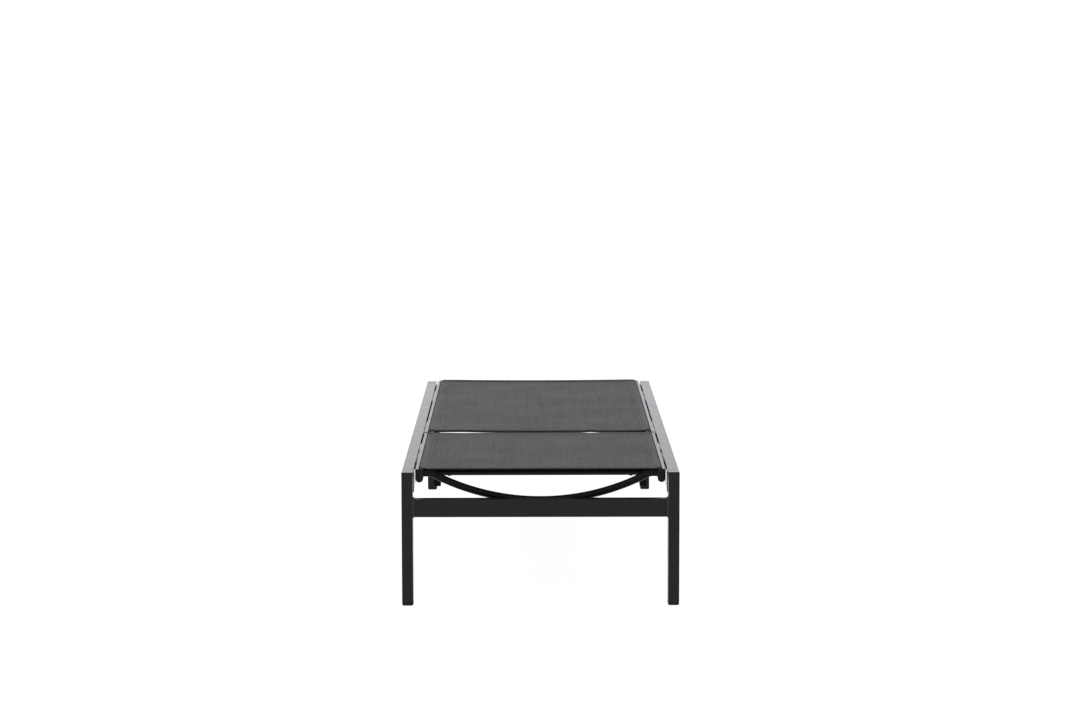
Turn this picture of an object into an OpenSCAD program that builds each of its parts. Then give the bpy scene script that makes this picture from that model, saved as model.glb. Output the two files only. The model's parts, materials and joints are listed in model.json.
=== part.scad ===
// Reclining sun lounger. An aluminium frame on four legs carries a fixed seat sling and a
// backrest sling that swings up on two hinge bolts, propped by a bail that sits in notched racks.
// X runs across, Y runs from the head end (negative) to the foot end, Z is up from the floor.

/* [Frame] */
// Overall length, head end to foot end
frame_length = 2000; // [1900:10:2100]
// Overall width across the side rails
frame_width = 740; // [700:10:780]
// Height of the side rails above the floor
frame_height = 360; // [345:5:400]
// Width of the leg and side rail tubes
tube_width = 30; // [26:1:34]
// Depth of a leg along the lounger
leg_depth = 50; // [40:1:60]
// Height of the side rail tube
side_rail_height = 60; // [50:1:60]
// Height of the cross rails' tube
cross_rail_height = 48; // [40:1:60]
// Thickness of the cross rails' tube along the lounger
cross_rail_depth = 30; // [24:1:36]
// Height of the cross rails' underside above the floor
cross_rail_low = 238; // [220:0.5:240]
// Wall thickness of the frame tubes
tube_wall = 2; // [1.5:0.1:3]
// Height of the moulded foot glide under each leg
glide_height = 8; // [5:1:12]

/* [Slings] */
// Width of a sling rail
rail_width = 21; // [20:0.5:22]
// Height of a sling rail, its round underside included
rail_height = 36; // [34:0.5:38]
// How far the sling rails stand above the side rails
rail_rise = 2; // [0:0.5:4]
// Gap between a side rail and a backrest rail
back_gap = 5.5; // [4:0.5:6]
// Gap between a side rail and a seat rail
seat_gap = 5; // [1:0.5:6]
// Distance from the head end to the backrest
back_start = 46; // [44:1:60]
// Distance from the head end to the hinge end of the backrest
back_end = 744; // [720:1:760]
// Gap between the backrest and the seat
split_gap = 14; // [12:1:20]
// Distance from the foot end to the seat's foot end
seat_inset = 6; // [4:1:20]

/* [Bows] */
// Diameter of a bow tube
bow_diameter = 20; // [16:1:20]
// Radius of a bow's long bend
bow_radius = 620; // [580:5:640]
// Radius of the short bends at a bow's ends
bow_end_radius = 30; // [30:5:70]
// Height of a bow's lowest point, at the middle of its tube
bow_low = 276.5; // [274:0.5:282]

/* [Recline] */
// Steepest angle of the backrest, in degrees
recline_max = 70; // [60:1:75]
// Distance from the hinge axis back to the backrest rail's end
hinge_setback = 18; // [16:1:20]
// Height of the hinge axis and of the bail's pivot axis
hinge_height = 342; // [340:0.5:344]
// Distance from the hinge axis to the bail's pivot axis
bail_lever = 209; // [205:1:212]
// How far the bail's crossbar lies from its pivot axis along the lounger
bail_reach = 237; // [230:1:240]
// How far the bail's crossbar lies below its pivot axis
bail_drop = 23; // [20:1:26]
// Backrest angles that have a notch in the racks
notch_angles = [25, 40, 55, 70];

/* [Hidden] */
$fn = 64;

paint = "#2b2e2f";
cloth = "#26282b";
plastic = "#151617";
steel = "#9a9d9f";

half_length = frame_length / 2;
half_width = frame_width / 2;
leg_inner_x = half_width - tube_width;
side_rail_low = frame_height - side_rail_height;
cross_rail_inset = (leg_depth - cross_rail_depth) / 2;

rail_top = frame_height + rail_rise;
rail_round_z = rail_top - rail_height + rail_width / 2;
rail_wall = 2;
rail_deck = 14;
back_outer_x = leg_inner_x - back_gap;
seat_outer_x = leg_inner_x - seat_gap;
back_inner_x = back_outer_x - rail_width;
seat_inner_x = seat_outer_x - rail_width;
back_head_y = back_start - half_length;
back_hinge_y = back_end - half_length;
seat_hinge_y = back_hinge_y + split_gap;
seat_foot_y = half_length - seat_inset;

cap_thickness = 3;
cap_plug = 12;
fit_gap = 0.1;
moving_gap = 0.3;

keder_from_face = 10.5;
keder_below_top = 7.5;
keder_radius = 3;
keder_channel_radius = 3.5;
keder_slot = 4.5;

cloth_thickness = 1.5;
cloth_sag_room = 1.8;
hem_inset = 6;

bow_height = 350;
bow_facets = 200;
bow_section_facets = 48;
bend_thinning = 0.02;
bow_swing = acos(1 - (bow_height - bow_low) / (bow_radius + bow_end_radius));
bow_bend_x = (bow_radius + bow_end_radius) * sin(bow_swing);
back_bow_head_y = back_head_y + 14;
back_bow_hinge_y = back_hinge_y - 44;
seat_bow_hinge_y = seat_hinge_y + 14;
seat_bow_middle_y = (seat_hinge_y + seat_foot_y) / 2;

bolt_radius = 4;
running_gap = 0.05;
bush_radius = 6;
washer_radius = 9;
hinge_y = back_hinge_y - hinge_setback;
hinge_bolt_reach = 12;
hinge_head_height = 5;
hinge_head_radius = 6.5;
nut_radius = 6;
nut_length = 10;

bail_y = hinge_y - bail_lever;
crossbar_radius = 10;
crossbar_half = 296;
crossbar_y = bail_y - bail_reach;
crossbar_z = hinge_height - bail_drop;
bail_length = sqrt(bail_reach * bail_reach + bail_drop * bail_drop);
bail_slope = atan2(bail_drop, bail_reach);
pivot_tube_radius = 9;
pivot_tube_half = back_inner_x - 3.4;
pivot_washer = 3.1;
pivot_head_height = 2.6;
pivot_head_radius = 7;
pivot_bolt_reach = 30;
plug_length = 30;
arm_x = 250;
arm_thickness = 8;
arm_end_radius = 12;
arm_height = 20;
bail_wall = 2;

rack_x = 283.2;
rack_width = 20;
rack_top = crossbar_z - crossbar_radius - 0.4;
rack_low = 282;
rack_head_y = crossbar_y - 22;
rack_hinge_y = hinge_y - 116;
notch_depth = 9;
notch_ramp = 16;
bracket_length = 30;
bracket_plate = 4;
bracket_tab = 3;
bracket_low = 292;
bracket_tab_top = 322;
bracket_ys = [hinge_y - 206, hinge_y - 135];
rack_screw_radius = 3;
rack_head_height = 3;
rack_nut_radius = 5.5;
rack_nut_length = 4;
rack_screw_past_nut = 1;
bracket_flange_half = 10;
nut_slot_half = 7;
nut_slot_depth = 6;
rack_screw_z = 294;
rest_block_width = 16;

screw_radius = 3;
screw_head_radius = 5.5;
screw_head_height = 3.5;
screw_reach = 12;
spacer_radius = 8;
screw_count = 4;
screw_inset = 60;
screw_pitch = (seat_foot_y - seat_hinge_y - 2 * screw_inset) / (screw_count - 1);
screw_ys = [for (i = [0 : screw_count - 1]) seat_hinge_y + screw_inset + i * screw_pitch];

// The bail's angle below level when the backrest is raised by an angle,
// and the place along the lounger where its crossbar then stands.
function bail_angle(raised) =
    asin((bail_drop + bail_lever * sin(raised)) / bail_length);
function foot_y(raised) =
    hinge_y - bail_lever * cos(raised) - bail_length * cos(bail_angle(raised));

// ---- Helpers: every sided piece is drawn on the right and mirrored for the left ----

module left() {
    mirror([1, 0, 0]) children();
}

module both_sides() {
    children();
    left() children();
}

// Extrudes an XZ outline along Y
module along_y(y0, y1) {
    translate([0, y1, 0]) rotate([90, 0, 0]) linear_extrude(y1 - y0) children();
}

// A round bar along X
module bar_x(x0, x1, y, z, r) {
    translate([x0, y, z]) rotate([0, 90, 0]) cylinder(r = r, h = x1 - x0);
}

// A round tube along X
module tube_x(x0, x1, y, z, r, wall) {
    difference() {
        bar_x(x0, x1, y, z, r);
        bar_x(x0 - 1, x1 + 1, y, z, r - wall);
    }
}

// A box given by its two corners
module box(low, high) {
    translate(low) cube(high - low);
}

// ---- Frame ----

module leg(y0) {
    top = frame_height;
    wall = tube_wall;
    color(paint)
    difference() {
        box([leg_inner_x, y0, glide_height], [half_width, y0 + leg_depth, top]);
        box([leg_inner_x + wall, y0 + wall, glide_height - 1],
            [half_width - wall, y0 + leg_depth - wall, top - wall]);
    }
}

module leg_head_right() {
    leg(-half_length);
}

module leg_head_left() {
    left() leg(-half_length);
}

module leg_foot_right() {
    leg(half_length - leg_depth);
}

module leg_foot_left() {
    left() leg(half_length - leg_depth);
}

module side_rail() {
    reach = half_length - leg_depth;
    wall = tube_wall;
    color(paint)
    difference() {
        box([leg_inner_x, -reach, side_rail_low], [half_width, reach, frame_height]);
        box([leg_inner_x + wall, -reach - 1, side_rail_low + wall],
            [half_width - wall, reach + 1, frame_height - wall]);
        bar_x(leg_inner_x - 1, leg_inner_x + wall + 1, hinge_y, hinge_height, bolt_radius);
        for (y = screw_ys)
            bar_x(leg_inner_x - 1, leg_inner_x + wall + 1, y, hinge_height, screw_radius);
    }
}

module side_rail_right() {
    side_rail();
}

module side_rail_left() {
    left() side_rail();
}

module cross_rail(y0) {
    wall = tube_wall;
    y1 = y0 + cross_rail_depth;
    top = cross_rail_low + cross_rail_height;
    color(paint)
    difference() {
        box([-leg_inner_x, y0, cross_rail_low], [leg_inner_x, y1, top]);
        box([-leg_inner_x - 1, y0 + wall, cross_rail_low + wall],
            [leg_inner_x + 1, y1 - wall, top - wall]);
    }
}

module cross_rail_head() {
    cross_rail(-half_length + cross_rail_inset);
}

module cross_rail_foot() {
    cross_rail(half_length - cross_rail_inset - cross_rail_depth);
}

// A moulded foot: a chamfered pad under the tube and a plug inside it
module glide(y0) {
    chamfer = 3;
    plug = 18;
    x0 = leg_inner_x;
    x1 = half_width;
    y1 = y0 + leg_depth;
    inset = tube_wall + fit_gap;
    color(plastic) {
        intersection() {
            along_y(y0, y1)
                polygon([
                    [x0 + chamfer, 0], [x1 - chamfer, 0], [x1, chamfer],
                    [x1, glide_height], [x0, glide_height], [x0, chamfer]
                ]);
            translate([x0 - 1, 0, 0]) rotate([90, 0, 90]) linear_extrude(tube_width + 2)
                polygon([
                    [y0 + chamfer, 0], [y1 - chamfer, 0], [y1, chamfer],
                    [y1, glide_height], [y0, glide_height], [y0, chamfer]
                ]);
        }
        box([x0 + inset, y0 + inset, glide_height],
            [x1 - inset, y1 - inset, glide_height + plug]);
    }
}

module glide_head_right() {
    glide(-half_length);
}

module glide_head_left() {
    left() glide(-half_length);
}

module glide_foot_right() {
    glide(half_length - leg_depth);
}

module glide_foot_left() {
    left() glide(half_length - leg_depth);
}

// ---- Sling rails, their caps and the bows between them ----

// The rail's outside: a flat top and a half-round underside
module rail_outline(outer_x) {
    translate([outer_x - rail_width / 2, rail_round_z]) circle(rail_width / 2);
    translate([outer_x - rail_width, rail_round_z])
        square([rail_width, rail_top - rail_round_z]);
}

// The hollow under the rail's thick deck, shrunk by a fit
module rail_hollow(outer_x, shrink) {
    r = rail_width / 2 - rail_wall - shrink;
    translate([outer_x - rail_width / 2, rail_round_z]) circle(r);
    translate([outer_x - rail_width / 2 - r, rail_round_z])
        square([2 * r, rail_top - rail_deck - shrink - rail_round_z]);
}

// The round channel that holds the sling's edge, and the slot that it enters by
module keder_channel(outer_x) {
    x = outer_x - keder_from_face;
    z = rail_top - keder_below_top;
    translate([x, z]) circle(keder_channel_radius);
    translate([x - keder_slot / 2, z]) square([keder_slot, keder_below_top + 1]);
}

module sling_rail(outer_x, y0, y1) {
    along_y(y0 + cap_thickness, y1 - cap_thickness)
        difference() {
            rail_outline(outer_x);
            rail_hollow(outer_x, 0);
            keder_channel(outer_x);
        }
}

module back_rail() {
    inner = back_inner_x;
    color(paint)
    difference() {
        sling_rail(back_outer_x, back_head_y, back_hinge_y);
        bar_x(inner - 1, back_outer_x + 1, hinge_y, hinge_height, bush_radius);
        bar_x(inner - 1, back_outer_x + 1, bail_y, hinge_height, bolt_radius);
    }
}

module back_rail_right() {
    back_rail();
}

module back_rail_left() {
    left() back_rail();
}

module seat_rail() {
    inner = seat_inner_x;
    color(paint)
    difference() {
        sling_rail(seat_outer_x, seat_hinge_y, seat_foot_y);
        for (y = screw_ys)
            bar_x(inner - 1, seat_outer_x + 1, y, hinge_height, screw_radius);
    }
}

module seat_rail_right() {
    seat_rail();
}

module seat_rail_left() {
    left() seat_rail();
}

// A moulded cap on a rail's end: its plate ends at y, and its plug points towards the rail
module rail_cap(outer_x, y, towards) {
    plate = y + towards * cap_thickness;
    plug = plate + towards * cap_plug;
    color(plastic) {
        along_y(min(y, plate), max(y, plate)) rail_outline(outer_x);
        along_y(min(plate, plug), max(plate, plug)) rail_hollow(outer_x, fit_gap);
    }
}

module back_cap_head_right() {
    rail_cap(back_outer_x, back_head_y, 1);
}

module back_cap_head_left() {
    left() rail_cap(back_outer_x, back_head_y, 1);
}

// The caps at the hinge end have a bare plate, because the bush lies close behind it
module hinge_end_cap() {
    color(plastic)
    along_y(back_hinge_y - cap_thickness, back_hinge_y) rail_outline(back_outer_x);
}

module back_cap_hinge_right() {
    hinge_end_cap();
}

module back_cap_hinge_left() {
    left() hinge_end_cap();
}

module seat_cap_hinge_right() {
    rail_cap(seat_outer_x, seat_hinge_y, 1);
}

module seat_cap_hinge_left() {
    left() rail_cap(seat_outer_x, seat_hinge_y, 1);
}

module seat_cap_foot_right() {
    rail_cap(seat_outer_x, seat_foot_y, -1);
}

module seat_cap_foot_left() {
    left() rail_cap(seat_outer_x, seat_foot_y, -1);
}

// A round bar that dips between two rails and holds them apart:
// a long bend, a short bend each side, drawn a hair thinner by the bending, and level ends
module bow(y, inner_x) {
    radius = bow_diameter / 2;
    centre_z = bow_low + bow_radius;
    end_centre_z = centre_z - (bow_radius + bow_end_radius) * cos(bow_swing);
    color(paint) {
        translate([0, y, centre_z]) rotate([90, 0, 0]) rotate([0, 0, 270 - bow_swing])
            rotate_extrude(angle = 2 * bow_swing, $fn = bow_facets)
                translate([bow_radius, 0]) circle(radius, $fn = bow_section_facets);
        both_sides() {
            translate([bow_bend_x, y, end_centre_z]) rotate([90, 0, 0]) rotate([0, 0, 90])
                rotate_extrude(angle = bow_swing, $fn = bow_facets) translate([bow_end_radius, 0])
                    circle(radius - bend_thinning, $fn = bow_section_facets);
            bar_x(bow_bend_x, inner_x, y, bow_height, radius);
        }
    }
}

module back_bow_head() {
    bow(back_bow_head_y, back_inner_x);
}

module back_bow_hinge() {
    bow(back_bow_hinge_y, back_inner_x);
}

module seat_bow_hinge() {
    bow(seat_bow_hinge_y, seat_inner_x);
}

module seat_bow_middle() {
    bow(seat_bow_middle_y, seat_inner_x);
}

// ---- Slings ----

// The cloth from keder slot to keder slot, with room below it for its sag between the rails
module sling(outer_x, y0, y1) {
    edge = outer_x - keder_from_face;
    inner = outer_x - rail_width - moving_gap;
    color(cloth)
    along_y(y0 + hem_inset, y1 - hem_inset)
        union() {
            translate([-edge, rail_top]) square([2 * edge, cloth_thickness]);
            translate([-inner, rail_top - cloth_sag_room])
                square([2 * inner, cloth_sag_room + cloth_thickness]);
        }
}

module keders(outer_x, y0, y1) {
    x = outer_x - keder_from_face;
    z = rail_top - keder_below_top;
    color(plastic)
    both_sides()
        along_y(y0 + hem_inset, y1 - hem_inset) translate([x, z]) circle(keder_radius);
}

module seat_sling() {
    sling(seat_outer_x, seat_hinge_y, seat_foot_y);
}

module seat_keders() {
    keders(seat_outer_x, seat_hinge_y, seat_foot_y);
}

module back_sling() {
    sling(back_outer_x, back_head_y, back_hinge_y);
}

module back_keders() {
    keders(back_outer_x, back_head_y, back_hinge_y);
}

// ---- Fixings of the seat rails ----

module seat_rail_spacers() {
    color(plastic)
    both_sides()
        for (y = screw_ys)
            tube_x(seat_outer_x, leg_inner_x, y, hinge_height, spacer_radius,
                   spacer_radius - screw_radius);
}

module seat_rail_screws() {
    inner = seat_inner_x;
    color(steel)
    both_sides()
        for (y = screw_ys) {
            bar_x(inner - screw_head_height, inner, y, hinge_height, screw_head_radius);
            bar_x(inner, leg_inner_x + screw_reach, y, hinge_height, screw_radius);
        }
}

// ---- Backrest hinge ----

module hinge_bolt() {
    head = back_inner_x - moving_gap;
    color(steel) {
        bar_x(head - hinge_head_height, head, hinge_y, hinge_height, hinge_head_radius);
        bar_x(head, leg_inner_x + hinge_bolt_reach, hinge_y, hinge_height, bolt_radius);
    }
}

module hinge_bolt_right() {
    hinge_bolt();
}

module hinge_bolt_left() {
    left() hinge_bolt();
}

module hinge_bush() {
    bore = bolt_radius + running_gap;
    color(plastic)
    tube_x(back_inner_x, back_outer_x, hinge_y, hinge_height, bush_radius, bush_radius - bore);
}

module hinge_bush_right() {
    hinge_bush();
}

module hinge_bush_left() {
    left() hinge_bush();
}

module hinge_washers() {
    color(plastic)
    both_sides()
        tube_x(back_outer_x + moving_gap, leg_inner_x, hinge_y, hinge_height,
               washer_radius, washer_radius - bolt_radius);
}

module hinge_nuts() {
    start = leg_inner_x + tube_wall;
    color(steel)
    both_sides()
        tube_x(start, start + nut_length, hinge_y, hinge_height,
               nut_radius, nut_radius - bolt_radius);
}

// ---- Notched racks under the backrest ----

// A notch has a steep wall on the head side and a ramp on the hinge side
module notch(y) {
    seat_z = rack_top - notch_depth + crossbar_radius + moving_gap;
    r = crossbar_radius + moving_gap;
    x0 = rack_x - rack_width;
    x1 = rack_x + rack_width;
    bar_x(x0, x1, y, seat_z, r);
    translate([x0, 0, 0]) rotate([90, 0, 90]) linear_extrude(x1 - x0)
        polygon([
            [y, rack_top - notch_depth], [y + notch_ramp, rack_top + 1], [y, rack_top + 1]
        ]);
}

module rack() {
    x0 = rack_x - rack_width / 2;
    x1 = rack_x + rack_width / 2;
    color(paint)
    difference() {
        box([x0, rack_head_y, rack_low], [x1, rack_hinge_y, rack_top]);
        for (raised = notch_angles)
            notch(foot_y(raised));
        for (y = bracket_ys)
            bar_x(x0 - 1, x1 + 1, y, rack_screw_z, rack_screw_radius);
    }
}

module rack_right() {
    rack();
}

module rack_left() {
    left() rack();
}

// A bent strap, welded to the side rail, that reaches under the backrest rail to the rack
module rack_bracket(y) {
    x0 = rack_x + rack_width / 2;
    y0 = y - bracket_length / 2;
    y1 = y + bracket_length / 2;
    low = rack_screw_z - bracket_flange_half;
    high = rack_screw_z + bracket_flange_half;
    difference() {
        union() {
            box([x0, y0, bracket_low], [leg_inner_x, y1, bracket_low + bracket_plate]);
            box([x0, y0, low], [x0 + bracket_plate, y1, high]);
            box([leg_inner_x - bracket_tab, y0, bracket_low], [leg_inner_x, y1, bracket_tab_top]);
        }
        bar_x(x0 - 1, x0 + bracket_plate + 1, y, rack_screw_z, rack_screw_radius);
        box([x0 + bracket_plate, y - nut_slot_half, bracket_low - 1],
            [x0 + bracket_plate + nut_slot_depth, y + nut_slot_half,
             bracket_low + bracket_plate + 1]);
    }
}

module rack_brackets() {
    color(paint)
    for (y = bracket_ys)
        rack_bracket(y);
}

module rack_brackets_right() {
    rack_brackets();
}

module rack_brackets_left() {
    left() rack_brackets();
}

module rack_screws() {
    x0 = rack_x - rack_width / 2;
    x1 = rack_x + rack_width / 2 + bracket_plate + rack_nut_length + rack_screw_past_nut;
    color(steel)
    both_sides()
        for (y = bracket_ys) {
            bar_x(x0 - rack_head_height, x0, y, rack_screw_z, screw_head_radius);
            bar_x(x0, x1, y, rack_screw_z, rack_screw_radius);
        }
}

module rack_nuts() {
    x0 = rack_x + rack_width / 2 + bracket_plate;
    color(steel)
    both_sides()
        for (y = bracket_ys)
            tube_x(x0, x0 + rack_nut_length, y, rack_screw_z, rack_nut_radius,
                   rack_nut_radius - rack_screw_radius);
}

// The rubber block that the lowered backrest rail lies on
module rest_block() {
    x = back_outer_x - rail_width / 2;
    y = bracket_ys[0];
    half = rest_block_width / 2;
    color(plastic)
    box([x - half, y - half, bracket_low + bracket_plate],
        [x + half, y + half, rail_top - rail_height - moving_gap]);
}

module rest_block_right() {
    rest_block();
}

module rest_block_left() {
    left() rest_block();
}

// ---- Bail that props the backrest ----

module bail_pivot_tube() {
    color(paint)
    tube_x(-pivot_tube_half, pivot_tube_half, bail_y, hinge_height,
           pivot_tube_radius, bail_wall);
}

// A flat arm with a round eye at each end, clamped around the two tubes
module bail_arm() {
    x0 = arm_x - arm_thickness / 2;
    x1 = arm_x + arm_thickness / 2;
    color(paint)
    difference() {
        union() {
            bar_x(x0, x1, bail_y, hinge_height, arm_end_radius);
            bar_x(x0, x1, crossbar_y, crossbar_z, arm_end_radius);
            translate([x0, bail_y, hinge_height]) rotate([bail_slope, 0, 0])
                translate([0, -bail_length, -arm_height / 2])
                    cube([arm_thickness, bail_length, arm_height]);
        }
        bar_x(x0 - 1, x1 + 1, bail_y, hinge_height, pivot_tube_radius);
        bar_x(x0 - 1, x1 + 1, crossbar_y, crossbar_z, crossbar_radius);
    }
}

module bail_arm_right() {
    bail_arm();
}

module bail_arm_left() {
    left() bail_arm();
}

module bail_crossbar() {
    color(paint)
    tube_x(-crossbar_half, crossbar_half, crossbar_y, crossbar_z, crossbar_radius, bail_wall);
}

module bail_caps() {
    rim = 2;
    color(plastic)
    both_sides() {
        bar_x(crossbar_half, crossbar_half + rim, crossbar_y, crossbar_z, crossbar_radius);
        bar_x(crossbar_half - cap_plug, crossbar_half, crossbar_y, crossbar_z,
              crossbar_radius - bail_wall);
    }
}

module bail_plugs() {
    bore = bolt_radius + running_gap;
    r = pivot_tube_radius - bail_wall;
    color(plastic)
    both_sides()
        tube_x(pivot_tube_half - plug_length, pivot_tube_half, bail_y, hinge_height, r, r - bore);
}

module bail_bolts() {
    color(steel)
    both_sides() {
        bar_x(back_outer_x, back_outer_x + pivot_head_height, bail_y, hinge_height,
              pivot_head_radius);
        bar_x(pivot_tube_half - pivot_bolt_reach, back_outer_x, bail_y, hinge_height,
              bolt_radius);
    }
}

module bail_washers() {
    color(plastic)
    both_sides()
        tube_x(back_inner_x - pivot_washer, back_inner_x, bail_y, hinge_height,
               washer_radius, washer_radius - bolt_radius);
}

leg_head_left();
leg_head_right();
leg_foot_left();
leg_foot_right();
side_rail_left();
side_rail_right();
cross_rail_head();
cross_rail_foot();
glide_head_left();
glide_head_right();
glide_foot_left();
glide_foot_right();
seat_rail_left();
seat_rail_right();
seat_bow_hinge();
seat_bow_middle();
seat_keders();
seat_sling();
seat_rail_spacers();
seat_rail_screws();
seat_cap_hinge_left();
seat_cap_hinge_right();
seat_cap_foot_left();
seat_cap_foot_right();
back_rail_left();
back_rail_right();
back_bow_head();
back_bow_hinge();
back_keders();
back_sling();
back_cap_head_left();
back_cap_head_right();
back_cap_hinge_left();
back_cap_hinge_right();
hinge_bolt_left();
hinge_bolt_right();
hinge_bush_left();
hinge_bush_right();
hinge_washers();
hinge_nuts();
rack_left();
rack_right();
rack_brackets_left();
rack_brackets_right();
rack_screws();
rack_nuts();
rest_block_left();
rest_block_right();
bail_pivot_tube();
bail_arm_left();
bail_arm_right();
bail_crossbar();
bail_caps();
bail_plugs();
bail_bolts();
bail_washers();
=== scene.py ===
import json
import math

import bpy
from mathutils import Matrix, Vector


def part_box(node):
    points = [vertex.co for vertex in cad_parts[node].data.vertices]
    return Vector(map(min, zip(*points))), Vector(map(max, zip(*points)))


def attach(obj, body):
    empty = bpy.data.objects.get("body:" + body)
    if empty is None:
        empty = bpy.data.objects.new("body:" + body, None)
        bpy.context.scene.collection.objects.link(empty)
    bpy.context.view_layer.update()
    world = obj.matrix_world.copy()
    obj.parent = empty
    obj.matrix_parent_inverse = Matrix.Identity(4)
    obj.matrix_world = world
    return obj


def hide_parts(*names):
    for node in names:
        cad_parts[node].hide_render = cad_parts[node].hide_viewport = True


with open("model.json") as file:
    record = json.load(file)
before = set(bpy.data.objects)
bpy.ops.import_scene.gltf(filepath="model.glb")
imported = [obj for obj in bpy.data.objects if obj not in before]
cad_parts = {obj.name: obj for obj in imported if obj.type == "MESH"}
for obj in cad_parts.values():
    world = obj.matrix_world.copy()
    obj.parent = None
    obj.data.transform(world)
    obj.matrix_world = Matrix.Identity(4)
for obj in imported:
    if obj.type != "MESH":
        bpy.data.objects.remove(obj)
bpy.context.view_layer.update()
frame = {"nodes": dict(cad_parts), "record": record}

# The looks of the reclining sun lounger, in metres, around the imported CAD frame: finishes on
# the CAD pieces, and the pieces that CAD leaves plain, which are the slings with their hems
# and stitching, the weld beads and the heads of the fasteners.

MM = 0.001

# ---- Camera, at the viewpoint that gives the photograph's perspective ----

CAMERA_PLACE = Vector((-0.0252, -8.5453, 1.5290))
CAMERA_PITCH = math.radians(6.5656)
CAMERA_YAW = math.radians(0.1846)
CAMERA_ROLL = math.radians(0.083)
CAMERA_LENS = 95.74
CAMERA_SENSOR = 36.0
CAMERA_REACH = 200.0

# ---- Surroundings ----

STUDIO_TINT = (0.982, 1.0, 1.028, 1.0)
STUDIO_FRONT = 0.55
STUDIO_BACK = 1.1
STUDIO_TURN = (-0.6, 0.4)
STUDIO_TOP_GAIN = 0.12
FLOOR_GLOW = 0.95
FLOOR_ALBEDO = 0.16
FLOOR_HALF = 40.0
KEY_PLACE = (-2.6, -2.4, 3.4)
KEY_TARGET = (0, 0, 0.3)
KEY_SIZE = (2.6, 2.0)
KEY_POWER = 45

# ---- Sizes of the slings ----

CLOTH_THICKNESS = 1.2 * MM
CLOTH_CLEARANCE = 0.1 * MM
CLOTH_ROLL = 0.8 * MM
PANEL_SAG = 2.4 * MM
YARN_PITCH = 1.7 * MM

# Side hems. The seams are measured from the slot inwards.
SIDE_HEM_WIDTH = 29.5 * MM
SIDE_HEM_FOLD = 0.9 * MM
SIDE_SEAMS = (18.5 * MM, 26.5 * MM)
SEAM_PUCKER = 0.7 * MM
SEAM_REACH = 1.6 * MM
SLOT_ENTRY = 1.2 * MM
# Along each side, a band this wide next to the slot takes a paler cloth: a painted highlight on the
# cloth's rolled edge.
HIGHLIGHT_BAND = 5 * MM

# End hems, which bow inwards and are thicker than the cloth by their fold. Part of the fold
# hangs below the cloth between the rails and thins out before it reaches them.
END_HEM_WIDTH = 28 * MM
END_HEM_FOLD = 2.5 * MM
END_HEM_NOSE = 1.5 * MM
NOSE_LEAST = 0.15
SPLIT_HEM_FOLD = 5.5 * MM
FOLD_STEP = 1.5 * MM
HEM_BOW = 3 * MM
HANG_BAND = 9 * MM
HANG_STOP = 1 * MM

# Near the slot, folds thin out over a band, and the cloth is held down over a wider one.
FOLD_TAPER = 5 * MM
FOLD_STOP = 1.5 * MM
HELD_BAND = 25 * MM

# At its corners the cloth is cut back, and it dives into the slot only past the cut.
CORNER_CUT = 12 * MM
CORNER_BAND = 16 * MM
CORNER_DIVE = 6 * MM

# How far from an end its bow and waves, its own sag and its lift have faded to about a third.
HEM_REACH = 60 * MM
SAG_REACH = 100 * MM
LIFT_REACH = 35 * MM

# Stitches, raised along the seams. Tip and rise are shares of the radius.
STITCH_PITCH = 4.6 * MM
STITCH_LENGTH = 3.4 * MM
STITCH_RADIUS = 0.5 * MM
STITCH_SIDES = 5
STITCH_RISE = 0.3
STITCH_TIP = 0.5
SEAM_STEP = 10 * MM
SEAM_MARGIN = 6 * MM
END_SEAM_INSET = 5 * MM
END_SEAM_STEPS = 80

# Where the rows and columns of a sling's mesh lie.
NOSE_ROWS = (0.0, 0.15, 0.45, 1.0)
HEM_ROW_SPACING = 4 * MM
HEM_ROWS = 6
BEYOND_ROWS = (36 * MM, 46 * MM, 60 * MM, 80 * MM)
ROW_SPACING = 20 * MM
FLAT_COLUMNS = 18
HEM_COLUMNS = 6
SEAM_COLUMNS = (-0.5, 0.0, 0.5, 1.0)
ROLL_TURNS = (30, 60, 90)

# Waves in the two hems that face each other, as (x, spread). The first two open the slits
# through which the floor shows, and the third presses the seat's hem down beside its rail.
LEFT_SLIT = (-0.226, 0.052)
RIGHT_SLIT = (0.15, 0.017)
RIGHT_DIP = (0.25, 0.08)

# The hems of each panel, the head end's first.
BACK_HEMS = (
    {"sag": 0.6 * MM, "lift": 0.0, "fold": END_HEM_FOLD, "hang": 0.85, "waves": ()},
    {
        "sag": 0.6 * MM,
        "lift": 0.2 * MM,
        "fold": END_HEM_FOLD,
        "hang": 0.85,
        "waves": ((*LEFT_SLIT, -0.7 * MM), (*RIGHT_SLIT, -0.8 * MM)),
    },
)
SEAT_HEMS = (
    {
        "sag": 2.2 * MM,
        "lift": 0.6 * MM,
        "fold": SPLIT_HEM_FOLD,
        "hang": 0.42,
        "waves": ((*LEFT_SLIT, 1.3 * MM), (*RIGHT_SLIT, 1.2 * MM), (*RIGHT_DIP, -1.0 * MM)),
    },
    {"sag": 2.2 * MM, "lift": 1.8 * MM, "fold": END_HEM_FOLD, "hang": 0.3, "waves": ()},
)


# ---- Small mesh tools ----

def smoothstep(value, start, end):
    """0 before start and 1 after end, with a soft passage between."""
    t = min(1.0, max(0.0, (value - start) / (end - start)))
    return t * t * (3 - 2 * t)


def add_mesh(name, vertices, faces, material, body, slot):
    """A new piece of the object that rides on a CAD body."""
    mesh = bpy.data.meshes.new(name)
    mesh.from_pydata([tuple(v) for v in vertices], [], faces)
    mesh.materials.append(material)
    mesh.update()
    mesh.shade_smooth()
    piece = bpy.data.objects.new(name, mesh)
    bpy.context.scene.collection.objects.link(piece)
    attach(piece, body)
    return piece


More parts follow.
